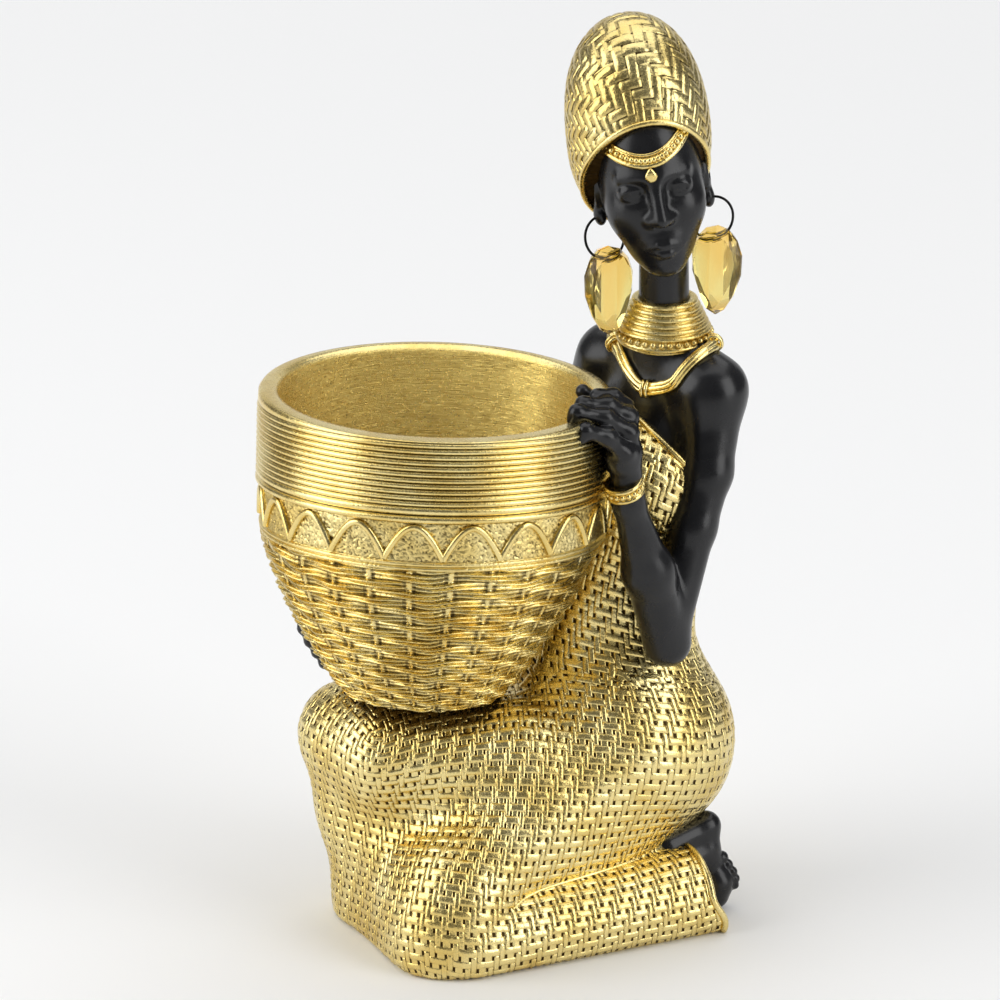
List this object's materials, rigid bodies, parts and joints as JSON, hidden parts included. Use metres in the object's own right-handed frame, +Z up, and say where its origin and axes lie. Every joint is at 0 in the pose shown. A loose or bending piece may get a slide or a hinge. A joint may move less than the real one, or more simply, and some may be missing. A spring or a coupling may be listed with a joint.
{
  "type": "statuette",
  "caption": "Painted resin statuette of a kneeling woman in a long dress and turban who holds a large open basket on her lap, with drop earrings.",
  "frame": {"origin": "on the ground, under the middle of the object's box", "axes": "+Z up, +Y to the back, away from the viewer of the basket and the face"},
  "size_m": [0.1093, 0.0923, 0.2079],
  "materials": {
    "gilt_resin": "filled resin with metallic gold paint on the dress, turban, basket and jewellery, and satin black skin",
    "black_wire": "black wire",
    "amber_acrylic": "clear amber, faceted and polished"
  },
  "bodies": {
    "root": {"statuette": "gilt_resin", "earring_hoop_left": "black_wire", "earring_drop_left": "amber_acrylic", "earring_hoop_right": "black_wire", "earring_drop_right": "amber_acrylic"}
  },
  "joints": []
}
